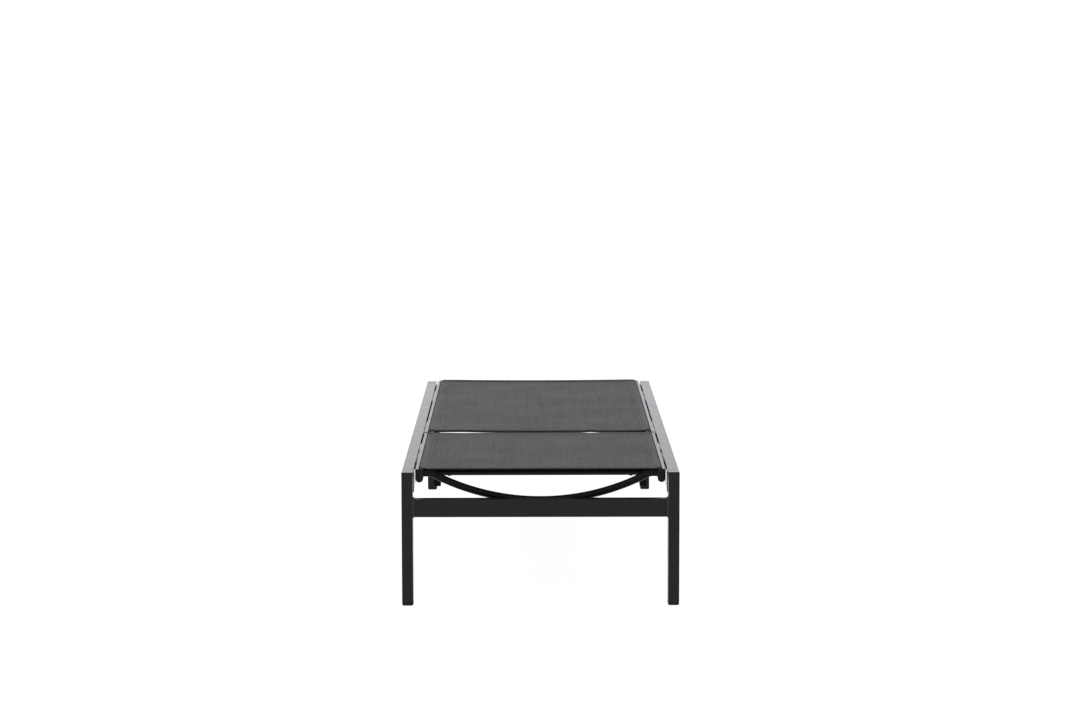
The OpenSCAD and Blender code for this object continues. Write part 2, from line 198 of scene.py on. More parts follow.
def loft(loops, close_run=False):
    """Vertices and faces of a skin over closed loops of equal length, with ends or as a ring."""
    count = len(loops[0])
    vertices = [point for loop in loops for point in loop]
    faces = []
    runs = len(loops) if close_run else len(loops) - 1
    for i in range(runs):
        here = i * count
        there = ((i + 1) % len(loops)) * count
        for k in range(count):
            after = (k + 1) % count
            faces.append((here + k, here + after, there + after, there + k))
    if not close_run:
        faces.append(tuple(range(count))[::-1])
        faces.append(tuple(range(len(vertices) - count, len(vertices))))
    return vertices, faces


def join_parts(parts):
    """Several (vertices, faces) as one."""
    vertices, faces = [], []
    for part_vertices, part_faces in parts:
        start = len(vertices)
        vertices.extend(part_vertices)
        faces.extend(tuple(start + index for index in face) for face in part_faces)
    return vertices, faces


def resample(points, spacing, closed):
    """Points at an even spacing along a line through the given points."""
    line = [Vector(p) for p in points] + ([Vector(points[0])] if closed else [])
    lengths = [(b - a).length for a, b in zip(line, line[1:])]
    total = sum(lengths)
    count = max(2, round(total / spacing))
    steps = count if closed else count + 1
    made, segment, passed = [], 0, 0.0
    for i in range(steps):
        target = total * i / count
        while segment < len(lengths) - 1 and passed + lengths[segment] < target:
            passed += lengths[segment]
            segment += 1
        share = (target - passed) / lengths[segment]
        made.append(line[segment].lerp(line[segment + 1], min(1.0, share)))
    return made


def tube(points, radii, sides, closed=False):
    """A round skin of varying radius along a line."""
    loops = []
    last_side = None
    for i, point in enumerate(points):
        before = points[i - 1] if i or closed else point
        after = points[(i + 1) % len(points)] if i < len(points) - 1 or closed else point
        ahead = (after - before).normalized()
        side = last_side if last_side is not None else ahead.orthogonal().normalized()
        side = (side - ahead * side.dot(ahead)).normalized()
        up = ahead.cross(side)
        last_side = side
        loops.append([
            point + (side * math.cos(turn) + up * math.sin(turn)) * radii[i]
            for turn in (2 * math.pi * k / sides for k in range(sides))
        ])
    return loft(loops, close_run=closed)


# ---- Node materials ----

class Finish:
    """A procedural material under construction."""

    def __init__(self, name):
        self.material = bpy.data.materials.new(name)
        self.material.use_nodes = True
        self.tree = self.material.node_tree
        self.surface = self.tree.nodes["Principled BSDF"]
        self.place = self.node("ShaderNodeTexCoord").outputs["Object"]

    def node(self, kind, inputs=None, **settings):
        """A node with its settings, and its inputs as values or as links from sockets."""
        made = self.tree.nodes.new(kind)
        for key, value in settings.items():
            setattr(made, key, value)
        for key, value in (inputs or {}).items():
            if isinstance(value, bpy.types.NodeSocket):
                self.tree.links.new(value, made.inputs[key])
            else:
                made.inputs[key].default_value = value
        return made

    def calc(self, operation, first, second=0.0, third=0.0):
        """The result of a Math node."""
        inputs = {0: first, 1: second, 2: third}
        return self.node("ShaderNodeMath", inputs, operation=operation).outputs[0]

    def noise(self, scale, detail=2.0, stretch=(1.0, 1.0, 1.0), roughness=0.5):
        """Noise of so many cells a metre, drawn out along an axis where stretch is under 1."""
        mapped = self.node("ShaderNodeMapping", {"Vector": self.place, "Scale": stretch})
        inputs = {
            "Vector": mapped.outputs[0],
            "Scale": scale,
            "Detail": detail,
            "Roughness": roughness,
        }
        return self.node("ShaderNodeTexNoise", inputs).outputs["Fac"]

    def ramp(self, value, low, high, to_low, to_high):
        """A value mapped from one range to another and held inside it."""
        inputs = {
            "Value": value,
            "From Min": low,
            "From Max": high,
            "To Min": to_low,
            "To Max": to_high,
        }
        return self.node("ShaderNodeMapRange", inputs).outputs[0]

    def mix(self, share, first, second):
        """Two colours mixed."""
        made = self.node("ShaderNodeMix", data_type="RGBA")
        for index, value in ((0, share), (6, first), (7, second)):
            socket = made.inputs[index]
            if isinstance(value, bpy.types.NodeSocket):
                self.tree.links.new(value, socket)
            else:
                socket.default_value = value
        return made.outputs[2]

    def edges(self, radius):
        """Near 1 on sharp edges and 0 on flats, from the difference a small rounding makes."""
        rounded = self.node("ShaderNodeBevel", {"Radius": radius}, samples=4).outputs[0]
        plain = self.node("ShaderNodeNewGeometry").outputs["Normal"]
        dot = self.node("ShaderNodeVectorMath", {0: rounded, 1: plain}, operation="DOT_PRODUCT")
        return self.ramp(dot.outputs["Value"], 0.98, 0.8, 0.0, 1.0)

    def bump(self, height, strength, distance, under=None):
        """A normal from a height, over another normal if one is given."""
        inputs = {"Height": height, "Strength": strength, "Distance": distance}
        if under is not None:
            inputs["Normal"] = under
        return self.node("ShaderNodeBump", inputs).outputs[0]

    def set(self, **inputs):
        """Sets or links the surface's inputs, named with _ for a space."""
        for key, value in inputs.items():
            socket = self.surface.inputs[key.replace("_", " ")]
            if isinstance(value, bpy.types.NodeSocket):
                self.tree.links.new(value, socket)
            else:
                socket.default_value = value
        return self.material


def grey(level, warmth=0.0):
    """A grey colour, slightly warm or, below 0, slightly blue."""
    return (level * (1 + warmth), level, level * (1 - warmth), 1.0)


def powder_coat(name, level, gloss_level, rough):
    """Fine textured powder coat: a pebbled skin, faint clouding, edges rubbed smoother."""
    finish = Finish(name)
    pebbles = finish.noise(scale=1500, detail=2)
    orange_peel = finish.noise(scale=260, detail=1)
    cloud = finish.ramp(finish.noise(scale=5, detail=4), 0.3, 0.7, 0.0, 1.0)
    speckle = finish.ramp(finish.noise(scale=2600, detail=1), 0.62, 0.74, 0.0, 0.35)
    wear = finish.noise(scale=45, detail=5, roughness=0.7)
    rubbed = finish.calc("MULTIPLY", finish.edges(1.6 * MM), wear)
    base = finish.mix(cloud, grey(level * 0.88, -0.03), grey(level * 1.12, -0.02))
    base = finish.mix(speckle, base, grey(level * 2.2))
    base = finish.mix(rubbed, base, grey(level * 3.2, -0.02))
    patches = finish.noise(scale=24, detail=5, roughness=0.65)
    roughness = finish.ramp(patches, 0.3, 0.7, rough - 0.05, rough + 0.06)
    roughness = finish.calc("SUBTRACT", roughness, finish.calc("MULTIPLY", rubbed, 0.1))
    normal = finish.bump(pebbles, strength=0.15, distance=0.12 * MM)
    normal = finish.bump(orange_peel, strength=0.06, distance=0.2 * MM, under=normal)
    return finish.set(
        Base_Color=base,
        Roughness=roughness,
        Normal=normal,
        IOR=1.5,
        Specular_IOR_Level=gloss_level,
    )


def moulded_plastic(name, level, rough):
    """Black moulded nylon: a fine spark-eroded grain, scuffed paler on its edges."""
    finish = Finish(name)
    grain = finish.noise(scale=2200, detail=3, roughness=0.7)
    flow = finish.noise(scale=40, detail=3, stretch=(1.0, 0.3, 1.0))
    wear = finish.noise(scale=90, detail=5, roughness=0.75)
    scuffs = finish.calc("MULTIPLY", finish.edges(1.2 * MM), wear)
    base = finish.mix(finish.ramp(flow, 0.35, 0.65, 0.0, 1.0), grey(level * 0.85), grey(level * 1.2))
    base = finish.mix(scuffs, base, grey(level * 4.5))
    roughness = finish.ramp(flow, 0.3, 0.7, rough - 0.06, rough + 0.08)
    return finish.set(
        Base_Color=base,
        Roughness=roughness,
        Normal=finish.bump(grain, strength=0.3, distance=0.1 * MM),
        IOR=1.5,
        Specular_IOR_Level=0.2,
    )


def rubber(name):
    """Dull rubber with dust in its pores."""
    finish = Finish(name)
    pores = finish.noise(scale=900, detail=4, roughness=0.7)
    dust = finish.ramp(finish.noise(scale=60, detail=6, roughness=0.7), 0.45, 0.75, 0.0, 0.6)
    return finish.set(
        Base_Color=finish.mix(dust, grey(0.012), grey(0.05, 0.04)),
        Roughness=finish.ramp(pores, 0.3, 0.7, 0.72, 0.9),
        Normal=finish.bump(pores, strength=0.35, distance=0.2 * MM),
        IOR=1.5,
        Specular_IOR_Level=0.3,
    )


def zinc_steel(name):
    """Zinc-plated steel: crystalline clouding, turned lines and handling marks."""
    finish = Finish(name)
    crystals = finish.noise(scale=700, detail=3)
    turned = finish.noise(scale=5200, detail=2, stretch=(1.0, 0.05, 0.05))
    marks = finish.ramp(finish.noise(scale=150, detail=6, roughness=0.7), 0.55, 0.7, 0.0, 0.5)
    base = finish.mix(finish.ramp(crystals, 0.35, 0.65, 0.0, 1.0), grey(0.42, -0.02), grey(0.56))
    base = finish.mix(marks, base, grey(0.25, 0.03))
    return finish.set(
        Base_Color=base,
        Metallic=1.0,
        Roughness=finish.ramp(crystals, 0.3, 0.7, 0.28, 0.42),
        Normal=finish.bump(turned, strength=0.2, distance=0.05 * MM),
    )


def woven_cloth(name, level, pitch):
    """Coated yarn in a plain weave, with uneven yarns that show as faint lines both ways, and painted
    shade darkening the hollows between the yarns.
    """
    finish = Finish(name)
    parts = finish.node("ShaderNodeSeparateXYZ", {0: finish.place})
    across = finish.calc("SINE", finish.calc("MULTIPLY", parts.outputs["X"], math.pi / pitch))
    along = finish.calc("SINE", finish.calc("MULTIPLY", parts.outputs["Y"], math.pi / pitch))
    over = finish.calc("MULTIPLY_ADD", finish.calc("MULTIPLY", across, along), 0.5, 0.5)
    under = finish.calc("SUBTRACT", 1.0, over)
    warp = finish.calc("MULTIPLY", finish.calc("ABSOLUTE", across), over)
    weft = finish.calc("MULTIPLY", finish.calc("ABSOLUTE", along), under)
    height = finish.calc("MAXIMUM", warp, weft)
    # Low points between the yarns are painted darker: painted shade in the hollows of the weave.
    yarn_gap_shade = finish.ramp(height, 0.12, 0.5, 0.35, 1.0)
    lines_across = finish.noise(scale=420, detail=3, stretch=(0.012, 1.0, 1.0))
    lines_along = finish.noise(scale=420, detail=3, stretch=(1.0, 0.012, 1.0))
    slubs_across = finish.noise(scale=90, detail=3, stretch=(0.05, 1.0, 1.0), roughness=0.6)
    slubs_along = finish.noise(scale=90, detail=3, stretch=(1.0, 0.05, 1.0), roughness=0.6)
    clouds = finish.noise(scale=7, detail=4)
    uneven = finish.calc("MULTIPLY_ADD", lines_across, 1.3, finish.calc("SUBTRACT", lines_along, 0.15))
    uneven = finish.calc("ADD", uneven, finish.calc("ADD", slubs_across, slubs_along))
    uneven = finish.calc("ADD", uneven, clouds)
    shade = finish.ramp(uneven, 2.1, 2.9, 0.0, 1.0)
    yarn = finish.mix(shade, grey(level * 0.74, -0.05), grey(level * 1.3, -0.04))
    base = finish.mix(yarn_gap_shade, grey(level * 0.2), yarn)
    fibres = finish.noise(scale=4200, detail=2)
    normal = finish.bump(height, strength=0.5, distance=0.25 * MM)
    normal = finish.bump(fibres, strength=0.15, distance=0.08 * MM, under=normal)
    return finish.set(
        Base_Color=base,
        Roughness=finish.ramp(shade, 0.0, 1.0, 0.72, 0.62),
        Normal=normal,
        IOR=1.5,
        Specular_IOR_Level=0.43,
    )


def thread(name, level):
    """Twisted sewing thread."""
    finish = Finish(name)
    twist = finish.noise(scale=3000, detail=2, stretch=(1.0, 0.35, 1.0))
    shade = finish.ramp(twist, 0.35, 0.65, 0.0, 1.0)
    return finish.set(
        Base_Color=finish.mix(shade, grey(level * 0.7), grey(level * 1.3)),
        Roughness=finish.ramp(twist, 0.3, 0.7, 0.7, 0.85),
        Normal=finish.bump(twist, strength=0.4, distance=0.1 * MM),
        IOR=1.5,
        Specular_IOR_Level=0.12,
    )


FRAME_PAINT = powder_coat("frame_powder_coat", level=0.0078, gloss_level=0.17, rough=0.14)
# A darker copy of the frame's paint for the bows, the bail and the rack brackets: painted shade,
# standing in for the shade these bars sit in under the slings.
SHADED_BAR_PAINT = powder_coat("bar_powder_coat_painted_shade", level=0.003, gloss_level=0.12, rough=0.3)
WELD_PAINT = powder_coat("weld_powder_coat", level=0.022, gloss_level=0.5, rough=0.3)
BLACK_PLASTIC = moulded_plastic("moulded_plastic", level=0.004, rough=0.44)
RUBBER = rubber("rest_rubber_compound")
STEEL = zinc_steel("zinc_plated_steel")
CLOTH = woven_cloth("woven_sling_cloth", level=0.0195, pitch=YARN_PITCH)
HEM_CLOTH = woven_cloth("woven_sling_hem", level=0.031, pitch=YARN_PITCH)
# A paler copy of the cloth for the band beside each slot: a painted highlight on the rolled edge, not
# wear.
HIGHLIGHT_EDGE_CLOTH = woven_cloth("woven_sling_painted_highlight_edge", level=0.045, pitch=YARN_PITCH)
# A near-black copy of the cloth for the noses of the end hems: painted shade, standing in for the
# shadow under the hems' folded edge.
SHADE_NOSE_CLOTH = woven_cloth("woven_sling_painted_shade_nose", level=0.004, pitch=YARN_PITCH)
THREAD = thread("sewing_thread", level=0.006)

SLOT_FINISHES = {
    "frame_paint": FRAME_PAINT,
    "sling_mesh": CLOTH,
    "black_plastic": BLACK_PLASTIC,
    "rest_rubber": RUBBER,
    "fastener_steel": STEEL,
}
# Nodes whose frame paint is swapped for the darker copy, painted shade.
SHADE_PAINTED_BARS = ("bow", "bail", "rack")
EDGE_ROUNDING = {
    "leg": 1.2 * MM,
    "side_rail": 1.2 * MM,
    "cross_rail": 1.2 * MM,
    "glide": 1.5 * MM,
    "cap": 0.5 * MM,
    "rack_left": 0.8 * MM,
    "rack_right": 0.8 * MM,
    "rack_brackets": 0.6 * MM,
    "rest_block": 1.2 * MM,
    "bail_arm": 0.8 * MM,
    "bail_caps": 0.6 * MM,
}
ROUNDING_STEPS = 3
ROUNDED_ANGLE = math.radians(40)
SAME_POINT = 0.01 * MM


def finish_cad_nodes():
    """Gives each shown CAD node its finish and rounds the edges of its tubes and mouldings."""
    slots = {row["node"]: row["material_slot"] for row in frame["record"]["subparts"]}
    for name, piece in frame["nodes"].items():
        material = SLOT_FINISHES[slots[name]]
        # Painted shade: the bars under the slings take a darker copy of the same paint.
        if material is FRAME_PAINT and any(part in name for part in SHADE_PAINTED_BARS):
            material = SHADED_BAR_PAINT
        piece.data.materials.clear()
        piece.data.materials.append(material)
        width = next((w for part, w in EDGE_ROUNDING.items() if part in name), None)
        if width is None:
            continue
        weld = piece.modifiers.new("weld", "WELD")
        weld.merge_threshold = SAME_POINT
        bevel = piece.modifiers.new("edge_rounding", "BEVEL")
        bevel.width = width
        bevel.segments = ROUNDING_STEPS
        bevel.limit_method = "ANGLE"
        bevel.angle_limit = ROUNDED_ANGLE
        bevel.harden_normals = True


# ---- Slings ----

# Places in a cloth's list of materials, after the cloth's own.
# The first holds the side hems' paler cloth, the second the painted shade on the end hems' noses, the
# third the painted highlight beside the slots.
HEM_SLOT, SHADE_NOSE_SLOT, HIGHLIGHT_SLOT = 1, 2, 3

# Share of a nose's length under which a face still belongs to it.
NOSE_SHARE = 0.99


class Sling:
    """The shape of a woven panel stretched from slot to slot, with folded hems and its sag.

    hems holds, for the head end and the foot end, how far the hem sags in its middle, how far
    it stands off the rails, its fold's thickness, the share of the fold that hangs below the
    cloth between the rails, and its waves as (x, width, height)."""

    def __init__(self, node, rail, keders, hems):
        box_low, box_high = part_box(node)
        keder_low, keder_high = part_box(keders)
        rail_low, rail_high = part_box(rail)
        self.hems = hems
        self.deck = rail_high.z
        self.depth = self.deck - keder_high.z
        self.slot_x = keder_high.x - (keder_high.z - keder_low.z) / 2
        self.inner_x = min(abs(rail_low.x), abs(rail_high.x))
        self.start = box_low.y
        self.length = box_high.y - box_low.y

    def rows(self):
        """Distances from the head end to the rows, closer over the hems and their noses."""
        near = [END_HEM_NOSE * share for share in NOSE_ROWS]
        hem = [HEM_ROW_SPACING * step for step in range(1, HEM_ROWS + 1)]
        fold = [END_HEM_WIDTH - FOLD_STEP / 2, END_HEM_WIDTH + FOLD_STEP / 2]
        from_end = near + hem + fold + list(BEYOND_ROWS)
        middle = self.length - 2 * from_end[-1]
        steps = round(middle / ROW_SPACING)
        inner = [from_end[-1] + middle * i / steps for i in range(1, steps)]
        return from_end + inner + [self.length - d for d in reversed(from_end)]

    def stations(self):
        """The underside from left to right: (x, drop, tilt), down into a slot at both ends."""
        fold = self.slot_x - SIDE_HEM_WIDTH
        down_x = self.slot_x - SLOT_ENTRY
        roll_x = down_x - CLOTH_ROLL
        flat = [fold * i / FLAT_COLUMNS for i in range(FLAT_COLUMNS)]
        flat += [fold, fold + FOLD_STEP]
        for inset in reversed(SIDE_SEAMS):
            flat += [self.slot_x - inset + SEAM_REACH * share for share in SEAM_COLUMNS]
        start = flat[-1]
        flat += [start + (roll_x - start) * i / HEM_COLUMNS for i in range(1, HEM_COLUMNS + 1)]
        half = [(x, 0.0, 0.0) for x in flat]
        for turn in ROLL_TURNS:
            tilt = math.radians(turn)
            x = roll_x + CLOTH_ROLL * math.sin(tilt)
            half.append((x, CLOTH_ROLL * (1 - math.cos(tilt)), tilt))
        half.append((down_x, self.depth, math.radians(90)))
        return [(-x, drop, -tilt) for x, drop, tilt in reversed(half)] + half[1:]

    def from_end(self, from_start):
        """Distance to the nearer end."""
        return min(from_start, self.length - from_start)

    def nearer_hem(self, from_start):
        """The hem of the nearer end."""
        return self.hems[0] if from_start < self.length / 2 else self.hems[1]

    def dive(self, from_start):
        """0 at the cut corners, and 1 where the cloth is down in its slots."""
        return smoothstep(self.from_end(from_start), CORNER_CUT, CORNER_CUT + CORNER_DIVE)

    def end_fold(self, x, from_start):
        """Extra thickness of an end hem, which stops short of the slot where it dives in."""
        hem_edge = (END_HEM_WIDTH - FOLD_STEP / 2, END_HEM_WIDTH + FOLD_STEP / 2)
        past_hem = smoothstep(self.from_end(from_start), *hem_edge)
        fold = self.nearer_hem(from_start)["fold"] * (1 - past_hem)
        slotted = smoothstep(abs(x), self.slot_x - FOLD_TAPER, self.slot_x - FOLD_STOP)
        return fold * (1 - slotted * self.dive(from_start))

    def underside(self, x, from_start):
        """Height of the cloth's underside."""
        middle = max(0.0, 1 - (x / self.inner_x) ** 2)
        held = 1 - smoothstep(abs(x), self.slot_x - HELD_BAND, self.slot_x)
        sag, lift, wave = PANEL_SAG, 0.0, 0.0
        for hem, distance in zip(self.hems, (from_start, self.length - from_start)):
            sag += (hem["sag"] - PANEL_SAG) * math.exp(-distance / SAG_REACH)
            lift += hem["lift"] * math.exp(-distance / LIFT_REACH)
            for centre, width, height in hem["waves"]:
                wave += height * math.exp(-((x - centre) / width) ** 2 - distance / HEM_REACH)
        hang = self.nearer_hem(from_start)["hang"] * self.end_fold(x, from_start)
        hang *= 1 - smoothstep(abs(x), self.inner_x - HANG_BAND, self.inner_x - HANG_STOP)
        return self.deck + CLOTH_CLEARANCE + (lift + wave) * held - sag * middle - hang

    def thickness(self, x, from_start):
        """Thickness of the cloth with its folds, pinched a little along the side seams."""
        hem_x = self.slot_x - SIDE_HEM_WIDTH
        side = SIDE_HEM_FOLD * smoothstep(abs(x), hem_x, hem_x + FOLD_STEP)
        side *= 1 - smoothstep(abs(x), self.slot_x - FOLD_TAPER, self.slot_x - FOLD_STOP)
        from_seam = min(abs(self.slot_x - inset - abs(x)) for inset in SIDE_SEAMS)
        pucker = SEAM_PUCKER * math.exp(-(from_seam / SEAM_REACH * 2) ** 2)
        return CLOTH_THICKNESS + max(side, self.end_fold(x, from_start)) - pucker

    def place_along(self, x, from_start):
        """Place along the lounger, drawn inwards where an end hem bows."""
        inward = 1 if from_start < self.length / 2 else -1
        fade = math.exp(-self.from_end(from_start) / HEM_REACH)
        return self.start + from_start + HEM_BOW * (1 - (x / self.slot_x) ** 2) * fade * inward

    def top(self, x, from_start):
        """A point on the cloth's upper side."""
        z = self.underside(x, from_start) + self.thickness(x, from_start)
        return Vector((x, self.place_along(x, from_start), z))

    def section(self, from_start):
        """The closed outline of the cloth across the panel, thinner in the nose of a hem."""
        from_end = self.from_end(from_start)
        cut = max(0.0, CORNER_CUT - from_end)
        dive = self.dive(from_start)
        nose = 1 - min(1.0, from_end / END_HEM_NOSE)
        fullness = max(NOSE_LEAST, math.sqrt(1 - nose * nose))
        band = self.slot_x - CORNER_BAND
        upper, lower = [], []
        for nominal_x, drop, tilt in self.stations():
            beyond = max(0.0, abs(nominal_x) - band)
            x = math.copysign(abs(nominal_x) - cut * beyond / CORNER_BAND, nominal_x)
            thick = self.thickness(x, from_start)
            z = self.underside(x, from_start) - drop * dive
            out = Vector((math.sin(tilt * dive), 0, math.cos(tilt * dive)))
            middle = Vector((x, self.place_along(x, from_start), z)) + out * thick / 2
            upper.append(middle + out * thick / 2 * fullness)
            lower.append(middle - out * thick / 2 * fullness)
        return upper + lower[::-1]

    def seams(self):
        """Lines of points along the four side seams and the two end seams."""
        lines = []
        run = self.length - 2 * SEAM_MARGIN
        count = int(self.length / SEAM_STEP)
        for side in (-1, 1):
            for inset in SIDE_SEAMS:
                x = side * (self.slot_x - inset)
                lines.append([self.top(x, SEAM_MARGIN + run * i / count) for i in range(count + 1)])
        seam = END_HEM_WIDTH - END_SEAM_INSET
        reach = self.slot_x - SIDE_HEM_WIDTH
        shares = [2 * i / END_SEAM_STEPS - 1 for i in range(END_SEAM_STEPS + 1)]
        for from_start in (seam, self.length - seam):
            lines.append([self.top(reach * share, from_start) for share in shares])
        return lines


def make_sling(name, node, rail, keders, body, hems):
    """A sling with its cloth, the finishes of its hems and its stitching, in its node's place."""
    sling = Sling(node, rail, keders, hems)
    rows = sling.rows()
    loops = [sling.section(from_start) for from_start in rows]
    cloth = add_mesh(name + "_cloth", *loft(loops), CLOTH, body, "sling_mesh")
    for material in (HEM_CLOTH, SHADE_NOSE_CLOTH, HIGHLIGHT_EDGE_CLOTH):
        cloth.data.materials.append(material)
    for face in cloth.data.polygons:
        run = min(face.index // len(loops[0]), len(rows) - 2)
        from_end = min(rows[run], sling.length - rows[run + 1])
        # The noses of the end hems get the near-black cloth, painted shade.
        if from_end < END_HEM_NOSE * NOSE_SHARE:
            face.material_index = SHADE_NOSE_SLOT
        # Faces close to the slot get the paler cloth, a painted highlight on the rolled edge.
        elif abs(face.center.x) > sling.slot_x - HIGHLIGHT_BAND:
            face.material_index = HIGHLIGHT_SLOT
        elif abs(face.center.x) > sling.slot_x - SIDE_HEM_WIDTH:
            face.material_index = HEM_SLOT
    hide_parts(node)
    stitching = add_stitches(name + "_stitching", sling.seams(), body)


def add_stitches(name, lines, body):
    """Short raised stitches along each line."""
    parts = []
    for line in lines:
        points = resample(line, STITCH_PITCH, closed=False)
        for here, there in zip(points, points[1:]):
            ahead = (there - here).normalized()
            rise = Vector((0, 0, STITCH_RADIUS * STITCH_RISE))
            ends = [here, here + ahead * STITCH_LENGTH / 2 + rise, here + ahead * STITCH_LENGTH]
            radii = [STITCH_RADIUS * STITCH_TIP, STITCH_RADIUS, STITCH_RADIUS * STITCH_TIP]
            parts.append(tube(ends, radii, STITCH_SIDES))
    return add_mesh(name, *join_parts(parts), THREAD, body, "sling_mesh")


# ---- Weld beads ----

WELD_RIPPLE = 3.2 * MM
RIPPLE_STEPS = 4
WELD_SIDES = 8
WELD_LEAST = 0.9
WELD_SWELL = 0.14
CROSS_BEAD = 3 * MM
CROSS_CORNER = 2 * MM
SIDE_BEAD = 2 * MM
SIDE_BEAD_STOP = 6 * MM
BAR_BEAD = 1.1 * MM


def bead(points, radius, closed):
    """A rippled weld bead along a line."""
    centres = resample(points, WELD_RIPPLE / RIPPLE_STEPS, closed)
    swells = [abs(math.sin(math.pi * i / RIPPLE_STEPS)) for i in range(len(centres))]
    radii = [radius * (WELD_LEAST + WELD_SWELL * swell) for swell in swells]
    return tube(centres, radii, WELD_SIDES, closed)


def ring(centre, radius, count=48):
    """Points of a circle around an axis along X."""
    return [
        centre + Vector((0, radius * math.cos(turn), radius * math.sin(turn)))
        for turn in (2 * math.pi * k / count for k in range(count))
    ]


def rounded_loop(x, low, high, corner):
    """A rectangle with round corners, across the lounger at x."""
    centres = [
        (high.y - corner, high.z - corner, 0),
        (low.y + corner, high.z - corner, 90),
        (low.y + corner, low.z + corner, 180),
        (high.y - corner, low.z + corner, 270),
    ]
    points = []
    for y, z, first in centres:
        for turn in (first, first + 30, first + 60, first + 90):
            angle = math.radians(turn)
            points.append(Vector((x, y + corner * math.cos(angle), z + corner * math.sin(angle))))
    return points


def weld_cross_rail(node):
    """Beads around both ends of a cross rail."""
    low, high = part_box(node)
    return [
        bead(rounded_loop(x, low, high, CROSS_CORNER), CROSS_BEAD, True)
        for x in (low.x, high.x)
    ]


def weld_side_rail(node):
    """Beads under and inside both ends of a side rail, where they aren't ground flush."""
    low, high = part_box(node)
    outer, inner = (low.x, high.x) if abs(low.x) > abs(high.x) else (high.x, low.x)
    parts = []
    for y in (low.y, high.y):
        line = [
            Vector((outer, y, low.z)),
            Vector((inner, y, low.z)),
            Vector((inner, y, high.z - SIDE_BEAD_STOP)),
        ]
        parts.append(bead(line, SIDE_BEAD, False))
    return parts


def weld_bar(node, faces):
    """Beads around a round bar where it meets the given faces, at x and its mirror."""
    low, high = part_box(node)
    radius = (high.y - low.y) / 2
    middle = Vector((0, (low.y + high.y) / 2, high.z - radius))
    return [
        bead(ring(middle + Vector((side * x, 0, 0)), radius), BAR_BEAD, True)
        for x in faces
        for side in (-1, 1)
    ]


def add_welds():
    """The frame's, the backrest's and the bail's weld beads, one piece a body."""
    frame_parts = []
    for node in ("cross_rail_head", "cross_rail_foot"):
        frame_parts += weld_cross_rail(node)
    for node in ("side_rail_left", "side_rail_right"):
        frame_parts += weld_side_rail(node)
    add_mesh("frame_welds", *join_parts(frame_parts), WELD_PAINT, "frame", "frame_paint")
    # The beads on the bows, and the bail's beads below, take the bars' darker paint, painted shade.
    for name, body in (("seat", "frame"), ("back", "backrest")):
        nodes = [node for node in frame["nodes"] if node.startswith(name + "_bow")]
        parts = []
        for node in nodes:
            parts += weld_bar(node, [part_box(node)[1].x])
        add_mesh(name + "_bow_welds", *join_parts(parts), SHADED_BAR_PAINT, body, "frame_paint")
    arm_low, arm_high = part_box("bail_arm_right")
    parts = []
    for node in ("bail_crossbar", "bail_pivot_tube"):
        parts += weld_bar(node, [arm_low.x, arm_high.x])
    add_mesh("bail_welds", *join_parts(parts), SHADED_BAR_PAINT, "bail", "frame_paint")


# ---- Fastener heads ----

HEADED_NODES = (
    "hinge_bolt_left",
    "hinge_bolt_right",
    "seat_rail_screws",
    "rack_screws",
    "bail_bolts",
)
HEAD_RISE = 1.5 * MM
HEAD_SPACING = 15 * MM
HEAD_POINTS = 48
SOCKET_DEPTH = 1.3 * MM
SOCKET_SHARE = 0.4
HEAD_SHARP_ANGLE = math.radians(35)
HEAD_PROFILE = ((0.97, 0.0), (0.96, 0.3), (0.9, 0.65), (0.78, 0.9), (0.62, 1.0))


def head_face(solid):
    """Centre, outward direction along X and radius of the wider end of a bolt or screw."""
    middle_y = (min(p.y for p in solid) + max(p.y for p in solid)) / 2
    middle_z = (min(p.z for p in solid) + max(p.z for p in solid)) / 2

    def width(x):
        rim = [p for p in solid if abs(p.x - x) < SAME_POINT]
        return max(math.hypot(p.y - middle_y, p.z - middle_z) for p in rim)

    low, high = min(p.x for p in solid), max(p.x for p in solid)
    face = max((low, high), key=width)
    return Vector((face, middle_y, middle_z)), 1 if face == high else -1, width(face)


def solids_along_y(points):
    """Points in groups, split where they lie far apart along the lounger."""
    groups = []
    for point in sorted(points, key=lambda p: p.y):
        if not groups or point.y - groups[-1][-1].y > HEAD_SPACING:
            groups.append([])
        groups[-1].append(point)
    return groups


def socket_head(centre, out, radius):
    """A low dome with a hexagon socket, on the flat end of a bolt."""
    def around(reach, height):
        points = []
        for k in range(HEAD_POINTS):
            angle = 2 * math.pi * k / HEAD_POINTS
            y = reach(angle) * math.cos(angle)
            z = out * reach(angle) * math.sin(angle)
            points.append(centre + Vector((out * height, y, z)))
        return points

    def hexagon(angle):
        from_flat = (angle + math.pi / 6) % (math.pi / 3) - math.pi / 6
        return SOCKET_SHARE * radius / math.cos(from_flat)

    loops = [around(lambda angle, share=share: share * radius, rise * HEAD_RISE)
             for share, rise in HEAD_PROFILE]
    loops.append(around(hexagon, HEAD_RISE))
    loops.append(around(hexagon, HEAD_RISE - SOCKET_DEPTH))
    return loft(loops)


def add_fastener_heads():
    """Socket heads on the bolts and screws, riding on each one's own body."""
    bodies = frame["record"]["behaviour"]["bodies"]
    for node in HEADED_NODES:
        body = next(name for name, members in bodies.items() if node in members)
        points = [vertex.co.copy() for vertex in frame["nodes"][node].data.vertices]
        parts = []
        for side in (-1, 1):
            for solid in solids_along_y([p for p in points if p.x * side > 0]):
                parts.append(socket_head(*head_face(solid)))
        heads = add_mesh(node + "_heads", *join_parts(parts), STEEL, body, "fastener_steel")
        heads.data.set_sharp_from_angle(angle=HEAD_SHARP_ANGLE)


# ---- Studio ----

